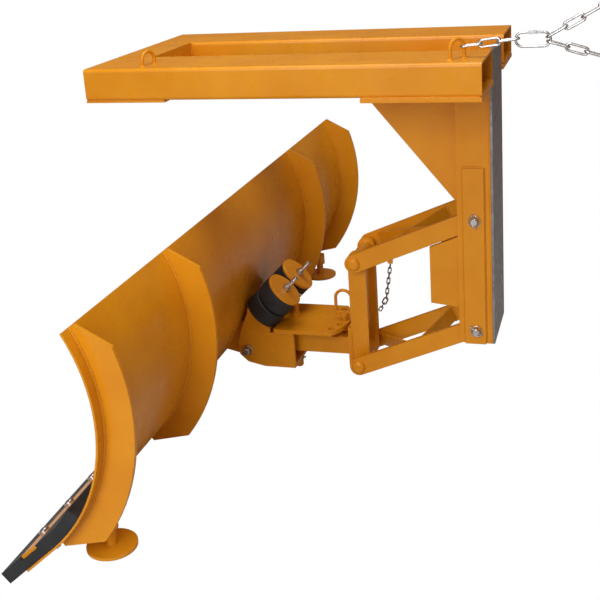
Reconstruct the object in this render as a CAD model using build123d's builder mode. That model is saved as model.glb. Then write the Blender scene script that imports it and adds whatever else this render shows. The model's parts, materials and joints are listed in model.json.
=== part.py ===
"""Snow plough blade carried on the forks of a fork-lift truck, in millimetres.

+X is the driving direction, +Y the left side, +Z up. The origin lies midway between the two fork
pockets, at their rear opening and at half their height.
"""
from build123d import *
from math import asin, atan2, cos, degrees, hypot, radians, sin
import os

os.makedirs("parts", exist_ok=True)

# ---- Fits and gaps -------------------------------------------------------------------------------
running_gap = 0.05          # radial gap between a pin and the bore that turns on it
rest_gap = 0.4              # gap between faces that rest on each other but move apart
side_gap = 2.0              # gap beside a moving arm or lug
weld_plate = 10.0           # usual plate thickness

# ---- Fork frame ----------------------------------------------------------------------------------
pocket_length = 1000.0
pocket_width = 200.0
pocket_height = 80.0
pocket_wall = 6.0
pocket_corner = 9.0
pocket_spacing = 456.0      # centre to centre
cross_width = 106.0
front_tie_length = 216.0
front_tie_thickness = 5.0
rear_tie_length = 285.0
rear_tie_thickness = 10.0
rear_tie_overhang = 5.0     # past each pocket's outer face
eye_wire = 9.0
eye_width = 52.0
eye_height = 50.0
front_eye_height = 38.0
front_eye_x = 846.0
rear_eye_x = 64.0
front_eye_turn = 70.0       # degrees round the vertical
rear_eye_turn = 50.0
eye_inset = 62.0            # from the pocket's outer face

# ---- Mast ----------------------------------------------------------------------------------------
mast_back = 12.0
mast_depth = 86.0
mast_width = 220.0
mast_bottom = -745.0
web_thickness = 8.0
web_bottom = -350.0
push_plate_thickness = 8.0
push_plate_top = 30.0
gusset_reach = 259.0
gusset_drop = 318.0
gusset_thickness = 12.0
gusset_offset = 82.0        # outer face from the mid plane
doubler_thickness = 8.0
doubler_width = 54.0
doubler_top = -263.0

# ---- Parallel arms -------------------------------------------------------------------------------
pivot_x = 52.0
upper_pivot_z = -402.0
pivot_spacing = 305.0
arm_length = 360.0          # pin to pin
arm_droop = 22.5            # degrees below level at rest
arm_height = 50.0
arm_thickness = 12.0
pin_diameter = 20.0
tube_diameter = 36.0
pin_head_diameter = 36.0
pin_head_height = 11.0
brace_height = 38.0
brace_thickness = 8.0
stop_reach = 76.0           # of the arm stops, ahead of the mast
stop_gap = 4.0              # under the resting arm
stop_height = 156.0

# ---- Upright and swivel head ---------------------------------------------------------------------
post_width = 50.0
post_thickness = 12.0
post_spacing = 128.0        # over the outer faces
flange_thickness = 10.0
flange_top = -742.0
flange_bottom = -860.0
king_reach = 180.0          # king pin ahead of the posts' front face
king_diameter = 24.0
king_stub_diameter = 18.0
swivel_height = 50.0
swivel_width = 90.0
swivel_wall = 8.0
swivel_top = -781.0
spacer_diameter = 70.0
lock_radius = 145.0
lock_diameter = 16.0
lock_step = 15.0            # degrees between lock holes
lock_hole_count = 5
lock_collar = 28.0
lock_loop_width = 56.0
lock_loop_height = 66.0
lock_travel = 12.0          # down, from free to locked
lock_wire = 9.0

# ---- Carrier -------------------------------------------------------------------------------------
sector_thickness = 12.0
sector_top = -744.0
sector_radius = 164.0
carrier_width = 200.0
carrier_plate = 10.0
carrier_back = 20.0         # behind the king pin
carrier_depth = 104.0       # of the side plates below the sector plate
seat_angle = 45.0
seat_start = 49.0           # ahead of the king pin, where the seat rises from the sector plate
seat_length = 87.0
seat_thickness = 10.0
tilt_x = 711.0
tilt_z = -813.0
tilt_boss = 24.0
buffer_spacing = 128.0
buffer_diameter = 106.0
buffer_disc = 48.0
buffer_mid = 4.0
buffer_relief = 11.0        # sector plate stops this far short of the seat, clear of the rubber
buffer_place = 47.0         # along the seat from its foot
washer_thickness = 8.0
washer_diameter = 108.0
rod_diameter = 12.0
rod_above = 50.0            # past the washer
rod_below = 62.0            # from the seat's face to the eye
rod_eye_radius = 12.0
rod_eye_width = 14.0
rod_pin_diameter = 10.0

# ---- Blade ---------------------------------------------------------------------------------------
blade_width = 2000.0
blade_radius = 408.0        # front face of the moldboard
blade_plate = 5.0
blade_centre_x = 1111.0
blade_centre_z = -572.0
blade_top_angle = 151.3     # degrees round the centre of the arc
foot_angle = 41.2           # of the flat foot, degrees below level
foot_length = 100.0
rib_thickness = 10.0
rib_depth = 68.0            # behind the moldboard
rib_tip = 12.0              # depth left at the rib's ends
rib_shoulder = 160.5        # degrees round the blade's centre where the upper taper starts
rib_heel = 218.0            # and where the lower one does
rib_inset = 30.0            # of the end ribs, from the moldboard's ends
middle_rib_y = 505.0
lug_thickness = 10.0
lug_gap = 20.0              # between the two lugs of a pair
trip_angle = 15.0           # how far the blade can swing back
scraper_length = 272.0
scraper_thickness = 30.0
scraper_overlap = 165.0     # up from the scraper's tip to the foot's top edge
clamp_width = 58.0
clamp_thickness = 8.0
clamp_from_tip = 100.0
clamp_sink = 8.0            # the bar lies in a groove this deep along the scraper
bolt_diameter = 12.0
bolt_head = 26.0
bolt_pitch = 115.0
bolt_count = 17
skid_diameter = 116.0
skid_thickness = 9.0
skid_x = 773.0
skid_y = 874.0
skid_bottom = -950.0
skid_stem = 24.0
skid_sleeve = 38.0
skid_sleeve_height = 35.0
skid_sleeve_bottom = -900.0

# ---- Chains --------------------------------------------------------------------------------------
link_wire = 6.0
link_inner_length = 44.0
link_inner_width = 10.0
small_wire = 3.0
small_inner_length = 17.0
small_inner_width = 5.0
small_link_count = 8
big_wire = 4.0
big_inner_length = 22.0
big_inner_width = 7.0
chain_slack = 0.7
chain_along = 252.0         # from the rear pin along the upper left arm to the lock pin's chain
chain_stud = 4.0
chain_tab = 3.0             # thickness of the tab that holds the stud
loop_spread = 9.2           # between the two links the snap hook's far end carries
loop_tilt = 6.0             # degrees, of the hanging loop
hook_wire = 6.0
hook_length = 84.0
hook_width = 38.0
gate_length = 38.0
gate_height = 7.0
gate_rivet = 3.0
clip_wire = 5.0
clip_ring = 15.0

# ---- Worked-out places ---------------------------------------------------------------------------
pocket_y = pocket_spacing / 2
pocket_outer = pocket_y + pocket_width / 2
pocket_inner = pocket_y - pocket_width / 2
top_z = pocket_height / 2
frame_bottom = -pocket_height / 2
mast_top = frame_bottom - rear_tie_thickness
mast_front = mast_back + mast_depth
mast_half = mast_width / 2
mast_inner = mast_half - weld_plate
arm_outer = mast_inner - side_gap
arm_inner = arm_outer - arm_thickness
lower_pivot_z = upper_pivot_z - pivot_spacing
droop = radians(arm_droop)
front_pin_x = pivot_x + arm_length * cos(droop)
upper_front_z = upper_pivot_z - arm_length * sin(droop)
lower_front_z = upper_front_z - pivot_spacing
doubler_outer = mast_half + doubler_thickness
post_half = post_spacing / 2
post_front = front_pin_x + post_width / 2
king_x = post_front + king_reach
swivel_bottom = swivel_top - swivel_height
lock_x = king_x - lock_radius
sector_bottom = sector_top - sector_thickness
carrier_half = carrier_width / 2
carrier_inner = carrier_half - carrier_plate
carrier_bottom = sector_bottom - carrier_depth
seat = radians(seat_angle)
seat_foot_x = king_x + seat_start
buffer_x = seat_foot_x + buffer_place * cos(seat)
buffer_z = sector_top + buffer_place * sin(seat)
buffer_height = 2 * buffer_disc + buffer_mid
blade_half = blade_width / 2
back_radius = blade_radius + blade_plate
foot = radians(foot_angle)
foot_x = blade_centre_x - blade_radius * sin(foot)
foot_z = blade_centre_z - blade_radius * cos(foot)
tip_x = foot_x + scraper_overlap * cos(foot)
tip_z = foot_z - scraper_overlap * sin(foot)
buffer_sides = (buffer_spacing / 2, -buffer_spacing / 2)


def upright_plane(y):
    """XZ plane whose extrusions run from y towards -Y."""
    return Plane.XZ.offset(-y)


def export(part, name):
    """Label a finished part and write it."""
    part.label = name
    export_step(part, f"parts/{name}.step")


def both_sides(part):
    """A part and its mirror image across the mid plane."""
    return Compound(children=[part, mirror(part, about=Plane.XZ)])


def oval_link(inner_length, inner_width, wire):
    """One oval chain link at the origin, long along x, lying in the XY plane."""
    half = (inner_length - inner_width) / 2
    bend = (inner_width + wire) / 2
    with BuildPart() as link:
        with BuildSketch(Plane.YZ.offset(-half)):
            with Locations((bend, 0), (-bend, 0)):
                Circle(wire / 2)
        extrude(amount=2 * half)
        for end in (1, -1):
            with BuildSketch(Plane(origin=(end * half, 0, 0), x_dir=(0, -end, 0), z_dir=(end, 0, 0))):
                with Locations((bend, 0)):
                    Circle(wire / 2)
            revolve(axis=Axis((end * half, 0, 0), (0, 0, 1)), revolution_arc=180)
    return link.part


def chain_run(link, route, count, first_turn=0):
    """Copies of a link spread along a route, each turned a quarter from the last."""
    links = []
    for i in range(count):
        reached = route.length * i / max(count - 1, 1)
        along = route.tangent_at(reached, position_mode=PositionMode.LENGTH)
        place = Plane(origin=route.position_at(reached, position_mode=PositionMode.LENGTH),
                      x_dir=along, z_dir=along.cross(Vector(0, 1, 0)))
        links.append(place.location * Rotation(first_turn + 90 * (i % 2), 0, 0) * link)
    return links


def across_bolt(x, y, z, turn):
    """Plane square to a bolt lying along Y, with its x axis turned up from +X."""
    return Plane(origin=(x, y, z), x_dir=(cos(radians(turn)), 0, sin(radians(turn))),
                 z_dir=(0, -1, 0))


def linch_pin(plane):
    """Straight pin through a bolt's end and the ring sprung round the bolt."""
    peg = Rotation(0, 90, 0) * Cylinder(clip_wire / 2, 2 * (clip_ring + clip_wire))
    return plane.location * (peg + Torus(clip_ring, clip_wire / 4))


def linch_bore(plane):
    """Hole in a bolt's end for a linch pin."""
    radius = clip_wire / 2 + running_gap
    return plane.location * (Rotation(0, 90, 0) * Cylinder(radius, 2 * pin_diameter))


def arm_plane(pivot_z, y=0.0):
    """Plane of one arm pair: x along the arm, y across, z square to the arm."""
    return Plane(origin=(pivot_x, y, pivot_z), x_dir=(cos(droop), 0, -sin(droop)),
                 z_dir=(sin(droop), 0, cos(droop)))


# ---- Fork frame ----------------------------------------------------------------------------------
for side, name in ((1, "fork_pocket_left"), (-1, "fork_pocket_right")):
    with BuildPart() as fork_pocket:
        with BuildSketch(Plane.YZ):
            with Locations((side * pocket_y, 0)):
                RectangleRounded(pocket_width, pocket_height, pocket_corner)
                RectangleRounded(pocket_width - 2 * pocket_wall, pocket_height - 2 * pocket_wall,
                                 pocket_corner - pocket_wall, mode=Mode.SUBTRACT)
        extrude(amount=pocket_length)
    export(fork_pocket.part, name)

with BuildPart() as front_cross_member:
    with BuildSketch(upright_plane(pocket_inner)):
        with Locations((pocket_length - cross_width / 2, 0)):
            Rectangle(cross_width, pocket_height)
            Rectangle(cross_width - 2 * pocket_wall, pocket_height - 2 * pocket_wall,
                      mode=Mode.SUBTRACT)
    extrude(amount=2 * pocket_inner)
export(front_cross_member.part, "front_cross_member")

with BuildPart() as front_tie_plate:
    with BuildSketch(Plane.XY.offset(frame_bottom)):
        with Locations((pocket_length - front_tie_length / 2, 0)):
            Rectangle(front_tie_length, 2 * pocket_outer)
    extrude(amount=-front_tie_thickness)
export(front_tie_plate.part, "front_tie_plate")

with BuildPart() as rear_tie_plate:
    with BuildSketch(Plane.XY.offset(frame_bottom)):
        with Locations((rear_tie_length / 2 - rest_gap, 0)):
            Rectangle(rear_tie_length, 2 * (pocket_outer + rear_tie_overhang))
        with Locations((mast_back / 2, 0)):
            Rectangle(mast_back + 2 * rest_gap, mast_width, mode=Mode.SUBTRACT)
    extrude(amount=-rear_tie_thickness)
export(rear_tie_plate.part, "rear_tie_plate")


def lashing_eye(x, y, turn, height):
    """Bent round bar standing on a pocket's top face."""
    stand = Plane(origin=(x, y, top_z), x_dir=(cos(radians(turn)), sin(radians(turn)), 0),
                  z_dir=(sin(radians(turn)), -cos(radians(turn)), 0))
    half = (eye_width - eye_wire) / 2
    with BuildPart() as eye:
        with BuildLine(stand) as bow:
            Line((-half, 0), (-half, height - eye_wire / 2 - half))
            ThreePointArc((-half, height - eye_wire / 2 - half), (0, height - eye_wire / 2),
                          (half, height - eye_wire / 2 - half))
            Line((half, height - eye_wire / 2 - half), (half, 0))
        with BuildSketch(Plane(origin=bow.line @ 0, z_dir=bow.line % 0)):
            Circle(eye_wire / 2)
        sweep(path=bow.line)
    return eye.part


eye_y = pocket_outer - eye_inset
front_eye = lashing_eye(front_eye_x, eye_y, front_eye_turn, front_eye_height)
rear_eye = lashing_eye(rear_eye_x, eye_y, rear_eye_turn, eye_height)
export(Compound(children=[front_eye, rear_eye]), "lashing_eyes")

# ---- Mast ----------------------------------------------------------------------------------------
for side, name in ((1, "mast_side_left"), (-1, "mast_side_right")):
    with BuildPart() as mast_side:
        with BuildSketch(upright_plane(mast_half if side > 0 else -mast_inner)):
            with Locations(((mast_back + mast_front) / 2, (mast_top + mast_bottom) / 2)):
                Rectangle(mast_depth, mast_top - mast_bottom)
            with Locations((pivot_x, upper_pivot_z), (pivot_x, lower_pivot_z)):
                Circle(pin_diameter / 2 + running_gap, mode=Mode.SUBTRACT)
        extrude(amount=weld_plate)
    export(mast_side.part, name)

with BuildPart() as mast_front_web:
    with BuildSketch(Plane.YZ.offset(mast_front)):
        with Locations((0, (mast_top + web_bottom) / 2)):
            Rectangle(2 * mast_inner, mast_top - web_bottom)
    extrude(amount=-web_thickness)
export(mast_front_web.part, "mast_front_web")

with BuildPart() as push_plate:
    with BuildSketch(Plane.YZ.offset(mast_back)):
        with Locations((0, (push_plate_top + mast_bottom) / 2)):
            Rectangle(mast_width, push_plate_top - mast_bottom)
    extrude(amount=-push_plate_thickness)
export(push_plate.part, "push_plate")

with BuildPart() as mast_gusset:
    with BuildSketch(upright_plane(gusset_offset)):
        with BuildLine():
            Polyline((mast_front, mast_top), (mast_front + gusset_reach, mast_top),
                     (mast_front, mast_top - gusset_drop), close=True)
        make_face()
    extrude(amount=gusset_thickness)
export(both_sides(mast_gusset.part), "mast_gussets")

with BuildPart() as pivot_doubler:
    with BuildSketch(upright_plane(doubler_outer)):
        with Locations((pivot_x + 2, (doubler_top + mast_bottom) / 2 + rest_gap)):
            Rectangle(doubler_width, doubler_top - mast_bottom)
        with Locations((pivot_x, upper_pivot_z), (pivot_x, lower_pivot_z)):
            Circle(pin_diameter / 2 + running_gap, mode=Mode.SUBTRACT)
    extrude(amount=doubler_thickness)
export(both_sides(pivot_doubler.part), "pivot_doublers")

stop_top_z = upper_pivot_z - (arm_height / 2 + stop_gap) / cos(droop)
with BuildPart() as arm_stop:
    with BuildSketch(upright_plane(mast_inner)):
        with BuildLine():
            at_mast = stop_top_z - (mast_front - weld_plate - pivot_x) * sin(droop) / cos(droop)
            at_end = stop_top_z - (mast_front + stop_reach - pivot_x) * sin(droop) / cos(droop)
            Polyline((mast_front - weld_plate, at_mast), (mast_front + stop_reach, at_end),
                     (mast_front + stop_reach, at_end - stop_height),
                     (mast_front - weld_plate, at_end - stop_height - weld_plate), close=True)
        make_face()
    extrude(amount=arm_thickness + side_gap)
export(both_sides(arm_stop.part), "arm_stops")

pin_end = doubler_outer + 16.0
clip_y = doubler_outer + clip_wire / 2 + rest_gap
rear_pins, rear_clips = [], []
for pivot_z, turn in ((upper_pivot_z, 80), (lower_pivot_z, 35)):
    clip_plane = across_bolt(pivot_x, clip_y, pivot_z, turn)
    bore = linch_bore(clip_plane)
    with BuildPart() as rear_pin:
        with BuildSketch(upright_plane(pin_end)):
            with Locations((pivot_x, pivot_z)):
                Circle(pin_diameter / 2)
        extrude(amount=pin_end + doubler_outer)
        chamfer(rear_pin.faces().sort_by(Axis.Y)[-1].edges(), 2)
        with BuildSketch(upright_plane(-doubler_outer)):
            with Locations((pivot_x, pivot_z)):
                RegularPolygon(pin_head_diameter / 2, 6)
        extrude(amount=pin_head_height)
        add(bore, mode=Mode.SUBTRACT)
    rear_pins.append(rear_pin.part)
    rear_clips.append(linch_pin(clip_plane))
export(Compound(children=rear_pins), "rear_pivot_pins")
export(Compound(children=rear_clips), "rear_linch_pins")

# ---- Parallel arms -------------------------------------------------------------------------------
chain_top = Vector(pivot_x + chain_along * cos(droop), arm_inner - 10,
                   upper_pivot_z - chain_along * sin(droop) - brace_height / 2 - 14)
hang = Vector(0.17, -0.14, -0.97).normalized()
link_end = chain_top - hang * ((small_inner_length - small_inner_width) / 2)
brace_ends = {"upper": ((110, 255), (320, 105)), "lower": ((100, 165), (335, 200))}
for level, pivot_z, front_z in (("upper", upper_pivot_z, upper_front_z),
                                ("lower", lower_pivot_z, lower_front_z)):
    along = arm_plane(pivot_z)
    for side, name in ((1, f"{level}_arm_left"), (-1, f"{level}_arm_right")):
        outline = Plane(origin=(pivot_x, arm_outer if side > 0 else -arm_inner, pivot_z),
                        x_dir=along.x_dir, z_dir=(0, -1, 0))
        with BuildPart() as arm:
            with BuildSketch(outline):
                with Locations((arm_length / 2, 0)):
                    SlotCenterToCenter(arm_length, arm_height)
                with Locations((0, 0), (arm_length, 0)):
                    Circle(pin_diameter / 2 + running_gap, mode=Mode.SUBTRACT)
            extrude(amount=arm_thickness)
            if name == "upper_arm_left":
                with BuildSketch(upright_plane(arm_inner)):
                    with Locations((chain_top.X, chain_top.Z)):
                        Rectangle(14, 13)
                extrude(amount=chain_tab)
                for diameter, reach in ((chain_stud, 13), (2 * chain_stud, 1.5)):
                    head = 0 if diameter == chain_stud else 13
                    with BuildSketch(upright_plane(arm_inner - head)):
                        with Locations((link_end.X, link_end.Z)):
                            Circle(diameter / 2)
                    extrude(amount=reach)
        export(arm.part, name)

    with BuildPart() as rear_tube:
        with BuildSketch(upright_plane(arm_inner)):
            with Locations((pivot_x, pivot_z)):
                Circle(tube_diameter / 2)
                Circle(pin_diameter / 2 + running_gap, mode=Mode.SUBTRACT)
        extrude(amount=2 * arm_inner)
    export(rear_tube.part, f"{level}_arm_tube")

    with BuildPart() as braces:
        with BuildSketch(along):
            for far, near in brace_ends[level]:
                with BuildLine():
                    lean = (near - far) / (2 * arm_inner)
                    half = brace_thickness / 2 * hypot(1, lean)
                    Polyline((far - half, -arm_inner), (far + half, -arm_inner),
                             (near + half, arm_inner), (near - half, arm_inner), close=True)
                make_face()
        extrude(amount=brace_height / 2, both=True)
    export(braces.part, f"{level}_arm_braces")

    with BuildPart() as front_pin:
        with BuildSketch(upright_plane(arm_outer)):
            with Locations((front_pin_x, front_z)):
                Circle(pin_diameter / 2)
        extrude(amount=2 * arm_outer)
        for side in (1, -1):
            with BuildSketch(upright_plane(side * arm_outer)):
                with Locations((front_pin_x, front_z)):
                    Circle(pin_head_diameter / 2)
            extrude(amount=-side * pin_head_height)
        heads = front_pin.faces().filter_by(Axis.Y).sort_by(Axis.Y)
        fillet(heads[-1].edges() + heads[0].edges(), pin_head_height - 1)
    export(front_pin.part, f"{level}_front_pin")

# ---- Upright and swivel head ---------------------------------------------------------------------
for side, name in ((1, "upright_post_left"), (-1, "upright_post_right")):
    with BuildPart() as post:
        with BuildSketch(upright_plane(post_half if side > 0 else post_thickness - post_half)):
            with Locations((front_pin_x, (upper_front_z + lower_front_z) / 2)):
                SlotCenterToCenter(pivot_spacing, post_width, rotation=90)
            with Locations((front_pin_x, upper_front_z), (front_pin_x, lower_front_z)):
                Circle(tube_diameter / 2, mode=Mode.SUBTRACT)
        extrude(amount=post_thickness)
    export(post.part, name)

bearing_tubes = []
for front_z in (upper_front_z, lower_front_z):
    with BuildPart() as bearing:
        with BuildSketch(upright_plane(arm_inner - rest_gap)):
            with Locations((front_pin_x, front_z)):
                Circle(tube_diameter / 2)
                Circle(pin_diameter / 2 + running_gap, mode=Mode.SUBTRACT)
        extrude(amount=2 * (arm_inner - rest_gap))
    bearing_tubes.append(bearing.part)
export(Compound(children=bearing_tubes), "upright_bearing_tubes")

swivel_start = post_front + flange_thickness
with BuildPart() as swivel_arm:
    with BuildSketch(Plane.YZ.offset(post_front)):
        with Locations((0, (flange_top + flange_bottom) / 2)):
            Rectangle(post_spacing, flange_top - flange_bottom)
    extrude(amount=flange_thickness)
    with BuildSketch(Plane.YZ.offset(swivel_start)):
        with Locations((0, (swivel_top + swivel_bottom) / 2)):
            Rectangle(swivel_width, swivel_height)
            Rectangle(swivel_width - 2 * swivel_wall, swivel_height - 2 * swivel_wall,
                      mode=Mode.SUBTRACT)
    extrude(amount=king_x - swivel_start)
    with BuildSketch(Plane.XY.offset(swivel_bottom)):
        with Locations((king_x, 0)):
            Circle(swivel_width / 2)
    extrude(amount=swivel_height)
    with BuildSketch(Plane.XY.offset(swivel_top)):
        with Locations((king_x, 0)):
            Circle(king_diameter / 2 + running_gap)
        with Locations((lock_x, 0)):
            Circle(lock_diameter / 2 + running_gap)
    extrude(amount=-swivel_height, mode=Mode.SUBTRACT)
export(swivel_arm.part, "swivel_arm")

with BuildPart() as swivel_spacer:
    with BuildSketch(Plane.XY.offset(swivel_top)):
        with Locations((king_x, 0)):
            Circle(spacer_diameter / 2)
            Circle(king_diameter / 2 + running_gap, mode=Mode.SUBTRACT)
    extrude(amount=sector_bottom - swivel_top - rest_gap)
export(swivel_spacer.part, "swivel_spacer")

king_bottom = carrier_bottom - 40.0
king_shoulder = sector_top + 14.0
king_top = king_shoulder + 62.0
king_clips, king_bores = [], []
for clip_z, turn in ((carrier_bottom - 14.0, 20), (king_top - 8.0, 0)):
    clip_plane = Plane(origin=(king_x, 0, clip_z), x_dir=(cos(radians(turn)), sin(radians(turn)), 0),
                       z_dir=(0, 0, 1))
    king_clips.append(linch_pin(clip_plane))
    king_bores.append(linch_bore(clip_plane))
export(Compound(children=king_clips), "king_linch_pins")

with BuildPart() as king_pin:
    with BuildSketch(Plane.XY.offset(king_bottom)):
        with Locations((king_x, 0)):
            Circle(king_diameter / 2)
    extrude(amount=king_shoulder - king_bottom)
    fillet(king_pin.faces().sort_by(Axis.Z)[0].edges(), 7)
    with BuildSketch(Plane.XY.offset(king_shoulder)):
        with Locations((king_x, 0)):
            Circle(king_stub_diameter / 2)
    extrude(amount=king_top - king_shoulder)
    chamfer(king_pin.faces().sort_by(Axis.Z)[-1].edges(), 2)
    for bore in king_bores:
        add(bore, mode=Mode.SUBTRACT)
export(king_pin.part, "king_pin")

lock_bottom = swivel_top + rest_gap   # just clear of the swivel arm while the pin is up
collar_bottom = sector_top + rest_gap + lock_travel
with BuildPart() as lock_pin:
    with BuildSketch(Plane.XY.offset(lock_bottom)):
        with Locations((lock_x, 0)):
            Circle(lock_diameter / 2)
    extrude(amount=collar_bottom - lock_bottom)
    chamfer(lock_pin.faces().sort_by(Axis.Z)[0].edges(), 2)
    with BuildSketch(Plane.XY.offset(collar_bottom)):
        with Locations((lock_x, 0)):
            Circle(lock_collar / 2)
    extrude(amount=weld_plate)
    loop_foot = collar_bottom + weld_plate
    loop_half = (lock_loop_width - lock_wire) / 2
    with BuildLine(Plane(origin=(lock_x, 0, loop_foot), x_dir=(1, 0, 0), z_dir=(0, -1, 0))) as loop:
        Line((-loop_half, 0), (-loop_half, lock_loop_height - loop_half))
        ThreePointArc((-loop_half, lock_loop_height - loop_half), (0, lock_loop_height),
                      (loop_half, lock_loop_height - loop_half))
        Line((loop_half, lock_loop_height - loop_half), (loop_half, 0))
    with BuildSketch(Plane(origin=loop.line @ 0, z_dir=loop.line % 0)):
        Circle(lock_wire / 2)
    sweep(path=loop.line)
    with BuildSketch(Plane.XY.offset(loop_foot - lock_wire / 2)):
        with Locations((lock_x, 0)):
            SlotCenterToCenter(2 * loop_half, lock_wire)
    extrude(amount=lock_wire)
export(lock_pin.part, "lock_pin")

small_link = oval_link(small_inner_length, small_inner_width, small_wire)
big_link = oval_link(big_inner_length, big_inner_width, big_wire)
small_pitch = small_inner_length - chain_slack
chain_turn = chain_top + hang * small_pitch * (small_link_count - 1)
lean = Vector(0.45, -0.35, -0.82).normalized()
big_centre = chain_turn + hang * (small_pitch / 2) + lean * ((big_inner_length - chain_slack) / 2)
last_top = big_centre + lean * ((small_inner_length + big_inner_length) / 2 - chain_slack)
lock_links = chain_run(small_link, Line(chain_top, chain_turn), small_link_count, 90)
lock_links += chain_run(big_link, Line(big_centre, big_centre + lean), 1,
                        90 * ((small_link_count + 1) % 2))
lock_links += chain_run(small_link, Line(last_top, last_top + lean * small_pitch), 2,
                        90 * (small_link_count % 2))
export(Compound(children=lock_links), "lock_pin_chain")

# ---- Carrier -------------------------------------------------------------------------------------
with BuildPart() as sector_plate:
    with BuildSketch(Plane.XY.offset(sector_bottom)):
        with Locations((king_x, 0)):
            Circle(sector_radius)
        with Locations((king_x, 0)):
            Rectangle(2 * sector_radius, carrier_width, mode=Mode.INTERSECT)
        with Locations((seat_foot_x - buffer_relief + sector_radius, 0)):
            Rectangle(2 * sector_radius, 2 * sector_radius, mode=Mode.SUBTRACT)
        with Locations((king_x, 0)):
            Circle(king_diameter / 2 + running_gap, mode=Mode.SUBTRACT)
            for i in range(lock_hole_count):
                turn = 180 + (i - (lock_hole_count - 1) / 2) * lock_step
                with Locations((lock_radius * cos(radians(turn)), lock_radius * sin(radians(turn)))):
                    Circle(lock_diameter / 2 + 10 * running_gap, mode=Mode.SUBTRACT)
    extrude(amount=sector_thickness)
export(sector_plate.part, "sector_plate")

seat_end_x = seat_foot_x + seat_length * cos(seat)
seat_end_z = sector_top + seat_length * sin(seat)
for side, name in ((1, "carrier_side_left"), (-1, "carrier_side_right")):
    with BuildPart() as carrier_side:
        with BuildSketch(upright_plane(carrier_half if side > 0 else -carrier_inner)):
            with BuildLine():
                Polyline((king_x - carrier_back, sector_bottom), (seat_foot_x, sector_bottom),
                         (seat_foot_x, sector_top), (seat_end_x, seat_end_z),
                         (seat_end_x + 4, seat_end_z - 18), (tilt_x + 16, tilt_z + 60),
                         (tilt_x + tilt_boss + 4, tilt_z + 18), (tilt_x + tilt_boss, tilt_z - 14),
                         (tilt_x, tilt_z - 36), (tilt_x - 50, carrier_bottom),
                         (king_x - carrier_back, carrier_bottom), close=True)
            make_face()
            with Locations((tilt_x, tilt_z)):
                Circle(pin_diameter / 2 + running_gap, mode=Mode.SUBTRACT)
        extrude(amount=carrier_plate)
    export(carrier_side.part, name)

with BuildPart() as carrier_bottom_plate:
    with BuildSketch(Plane.XY.offset(carrier_bottom)):
        with Locations(((king_x - carrier_back + tilt_x - 50) / 2, 0)):
            Rectangle(tilt_x - 50 - king_x + carrier_back, 2 * carrier_inner)
        with Locations((king_x, 0)):
            Circle(king_diameter / 2 + running_gap, mode=Mode.SUBTRACT)
    extrude(amount=carrier_plate)
export(carrier_bottom_plate.part, "carrier_bottom_plate")

seat_plane = Plane(origin=(buffer_x, 0, buffer_z), x_dir=(cos(seat), 0, sin(seat)),
                   z_dir=(-sin(seat), 0, cos(seat)))
with BuildPart() as buffer_seat:
    with BuildSketch(seat_plane):
        with Locations((seat_length / 2 - buffer_place, 0)):
            Rectangle(seat_length, 2 * carrier_inner)
        with Locations((0, buffer_sides[0]), (0, buffer_sides[1])):
            Circle(rod_diameter / 2 + side_gap, mode=Mode.SUBTRACT)
    extrude(amount=-seat_thickness)
export(buffer_seat.part, "buffer_seat")

tilt_end = carrier_half + 18.0
tilt_planes = [across_bolt(tilt_x, side * (carrier_half + clip_wire / 2 + rest_gap), tilt_z, -50)
               for side in (1, -1)]
tilt_bores = [linch_bore(plane) for plane in tilt_planes]
with BuildPart() as tilt_pin:
    with BuildSketch(upright_plane(tilt_end)):
        with Locations((tilt_x, tilt_z)):
            Circle(pin_diameter / 2)
    extrude(amount=2 * tilt_end)
    ends = tilt_pin.faces().filter_by(Axis.Y).sort_by(Axis.Y)
    chamfer(ends[0].edges() + ends[-1].edges(), 2)
    for bore in tilt_bores:
        add(bore, mode=Mode.SUBTRACT)
export(tilt_pin.part, "tilt_pin")
export(Compound(children=[linch_pin(plane) for plane in tilt_planes]), "tilt_linch_pins")

for side_y, name in zip(buffer_sides, ("rubber_buffer_left", "rubber_buffer_right")):
    stand = Plane(origin=(buffer_x, side_y, buffer_z), x_dir=seat_plane.x_dir,
                  z_dir=seat_plane.z_dir)
    with BuildPart() as rubber_buffer:
        for level in (0, buffer_disc + buffer_mid):
            with BuildSketch(stand.offset(level)):
                Circle(buffer_diameter / 2)
            extrude(amount=buffer_disc)
        fillet(rubber_buffer.edges().filter_by(GeomType.CIRCLE), 5)
        with BuildSketch(stand):
            Circle(buffer_diameter / 2 - 8)
        extrude(amount=buffer_height)
        with BuildSketch(stand):
            Circle(rod_diameter / 2 + side_gap)
        extrude(amount=buffer_height, mode=Mode.SUBTRACT)
    export(rubber_buffer.part, name)

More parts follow.
